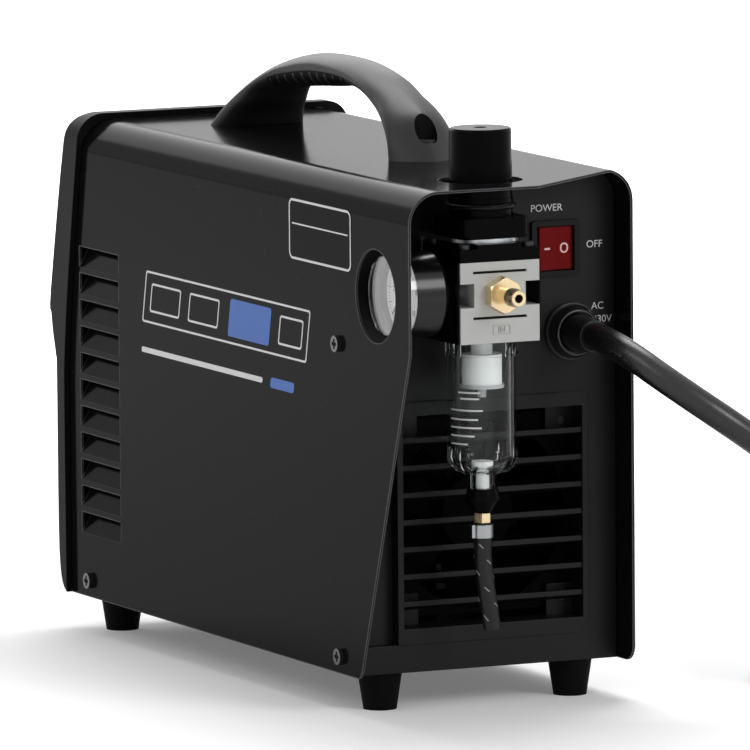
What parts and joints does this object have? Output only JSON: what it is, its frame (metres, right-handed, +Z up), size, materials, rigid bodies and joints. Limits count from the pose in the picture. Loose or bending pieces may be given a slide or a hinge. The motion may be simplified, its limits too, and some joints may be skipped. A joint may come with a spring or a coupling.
{
  "type": "plasma cutter unit",
  "caption": "Portable inverter plasma cutter with a hooded rear, an air filter regulator and gauge, a rocker switch, an arched handle and a rubber mains lead.",
  "frame": {"origin": "on the ground under the middle of the machine, measured without its lead and drain hose", "axes": "+Y towards the rear, where the fan grille and the air regulator are, -Y towards the controls and the torch connector, +X to the side with the gauge window, +Z up"},
  "size_m": [0.3679, 0.4401, 0.2885],
  "materials": {
    "powder_coat_charcoal": "satin powder coat with a gloss that mirrors at a low angle",
    "powder_coat_black": "satin black powder coat",
    "moulded_plastic": "fine-grained black ABS",
    "panel_plastic": "fine-grained black ABS",
    "rubber_black": "moulded black rubber",
    "zinc_steel": "bright zinc plate",
    "black_oxide": "black oxide on cross-recess screws",
    "handle_plastic": "dark grey moulded nylon, satin",
    "switch_black": "black nylon",
    "rocker_red": "dark red, half clear, glossy",
    "die_cast_silver": "light silver-grey paint on die-cast zinc",
    "regulator_black": "black glass-filled nylon",
    "ring_grey": "dark grey plastic",
    "nickel": "nickel plate",
    "gauge_black": "black painted steel",
    "dial_white": "white printed dial",
    "needle_black": "matt black",
    "clear_plastic": "clear polycarbonate",
    "brass_fitting": "turned brass",
    "filter_white": "white sintered element",
    "baffle_plastic": "translucent grey plastic",
    "clamp_steel": "bright steel band",
    "hose_rubber": "black braided hose",
    "fan_black": "black PBT",
    "board_green": "green solder mask",
    "heat_sink_aluminium": "extruded, plain",
    "transformer_core": "dark ferrite and tape",
    "capacitor_sleeve": "shrink sleeve",
    "air_hose_blue": "blue polyurethane hose",
    "control_knob": "black with a white line",
    "indicator_lens": "tinted lenses",
    "connector_brass": "machined brass in a black collar",
    "connector_black": "black glass-filled nylon",
    "gland_nylon": "smooth black nylon",
    "lead_rubber": "dark grey-black rubber sheath",
    "plug_rubber": "black moulded rubber"
  },
  "bodies": {
    "machine": {"cover": "powder_coat_charcoal", "base_tray": "powder_coat_black", "bezel": "moulded_plastic", "front_panel": "panel_plastic", "rear_panel": "panel_plastic", "feet": "rubber_black", "foot_screws": "zinc_steel", "cover_screws": "black_oxide", "handle": "handle_plastic", "handle_screws": "zinc_steel", "handle_nuts": "zinc_steel", "switch_body": "switch_black", "regulator_body": "die_cast_silver", "regulator_side_covers": "regulator_black", "bonnet": "regulator_black", "bonnet_screws": "zinc_steel", "ring_nut": "regulator_black", "bracket": "zinc_steel", "bracket_screws": "zinc_steel", "lock_ring": "ring_grey", "gauge_stem": "nickel", "gauge_case": "gauge_black", "gauge_dial": "dial_white", "gauge_cap": "clear_plastic", "inlet_fitting": "brass_fitting", "outlet_fitting": "brass_fitting", "bowl": "clear_plastic", "filter_element": "filter_white", "baffle": "baffle_plastic", "drain_valve": "filter_white", "drain_tail": "brass_fitting", "hose_clamp": "clamp_steel", "drain_hose": "hose_rubber", "fan_housing": "fan_black", "fan_screws": "zinc_steel", "main_board": "board_green", "heat_sink": "heat_sink_aluminium", "transformer": "transformer_core", "capacitors": "capacitor_sleeve", "solenoid_valve": "brass_fitting", "air_hose": "air_hose_blue", "potentiometer": "zinc_steel", "indicator_lights": "indicator_lens", "torch_connector": "connector_brass", "pilot_socket": "connector_black", "earth_socket": "connector_black", "gland_body": "gland_nylon", "gland_nut": "gland_nylon", "mains_lead": "lead_rubber", "lead_coil": "lead_rubber", "plug_body": "plug_rubber", "plug_pins": "nickel"},
    "rocker": {"rocker": "rocker_red"},
    "adjusting_screw": {"adjusting_screw": "zinc_steel"},
    "regulator_knob": {"knob": "regulator_black"},
    "gauge_needle": {"gauge_needle": "needle_black"},
    "fan_rotor": {"fan_rotor": "fan_black"},
    "drain_knob": {"drain_knob": "regulator_black"},
    "current_knob": {"current_knob": "control_knob"}
  },
  "joints": [
    {"name": "mains_switch", "type": "hinge", "parent": "machine", "child": "rocker", "pos_m": [-0.0362, 0.137, 0.2102], "axis": [0, 0, 1], "range_deg": [-14, 0]},
    {"name": "pressure_setting", "type": "hinge", "parent": "machine", "child": "adjusting_screw", "pos_m": [0.015, 0.169, 0.24], "axis": [0, 0, 1], "range_deg": [-720, 720]},
    {"name": "knob_lock", "type": "slide", "parent": "adjusting_screw", "child": "regulator_knob", "axis": [0, 0, 1], "range_m": [0, 0.003]},
    {"name": "gauge_reading", "type": "hinge", "parent": "machine", "child": "gauge_needle", "pos_m": [0.05, 0.169, 0.1967], "axis": [1, 0, 0], "range_deg": [-270, 0], "stiffness_Nm_per_rad": 0.00005},
    {"name": "fan_turn", "type": "hinge", "parent": "machine", "child": "fan_rotor", "pos_m": [-0.0038, 0.113, 0.08715], "axis": [0, 1, 0], "continuous": true},
    {"name": "drain_turn", "type": "hinge", "parent": "machine", "child": "drain_knob", "pos_m": [0.015, 0.169, 0.1], "axis": [0, 0, 1], "range_deg": [0, 90]},
    {"name": "current_setting", "type": "hinge", "parent": "machine", "child": "current_knob", "pos_m": [0, -0.18331, 0.19899], "axis": [0, -0.9735, 0.2287], "range_deg": [-150, 150]}
  ]
}
